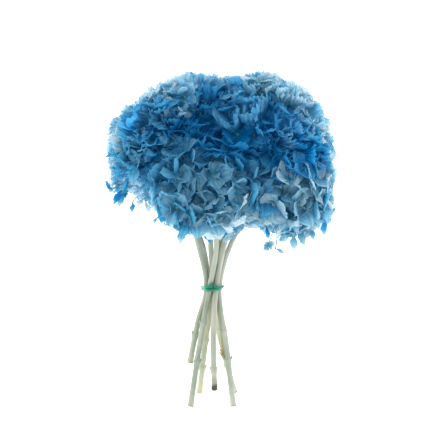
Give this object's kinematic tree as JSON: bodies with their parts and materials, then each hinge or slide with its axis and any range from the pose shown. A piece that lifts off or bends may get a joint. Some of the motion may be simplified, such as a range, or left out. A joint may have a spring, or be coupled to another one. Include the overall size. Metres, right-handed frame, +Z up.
{
  "type": "tied bunch of preserved hydrangeas",
  "caption": "Tied bunch of preserved blue hydrangea flowers on bare pale green stems, lying on a surface; a dried flower decoration to lay down or put in a vase.",
  "frame": {"origin": "on the surface that the bunch lies on, under the middle of its bounding box", "axes": "+Y from the cut ends towards the flower heads, +X across the bunch, +Z up from the surface"},
  "size_m": [0.2804, 0.3878, 0.1983],
  "materials": {
    "petals_deep": "matte, veined, a little see-through",
    "petals_pale": "matte, veined, a little see-through",
    "stem": "matte",
    "band": "satin, see-through"
  },
  "bodies": {
    "root": {"head_upper_left": "petals_deep", "head_upper_right": "petals_deep", "head_front": "petals_pale", "head_right": "petals_pale", "head_left": "petals_deep", "head_back": "petals_deep", "head_top": "petals_deep", "stem_upper_left": "stem", "stem_upper_right": "stem", "stem_front": "stem", "stem_right": "stem", "stem_left": "stem", "stem_back": "stem", "stem_top": "stem", "tie_band": "band"}
  },
  "joints": []
}
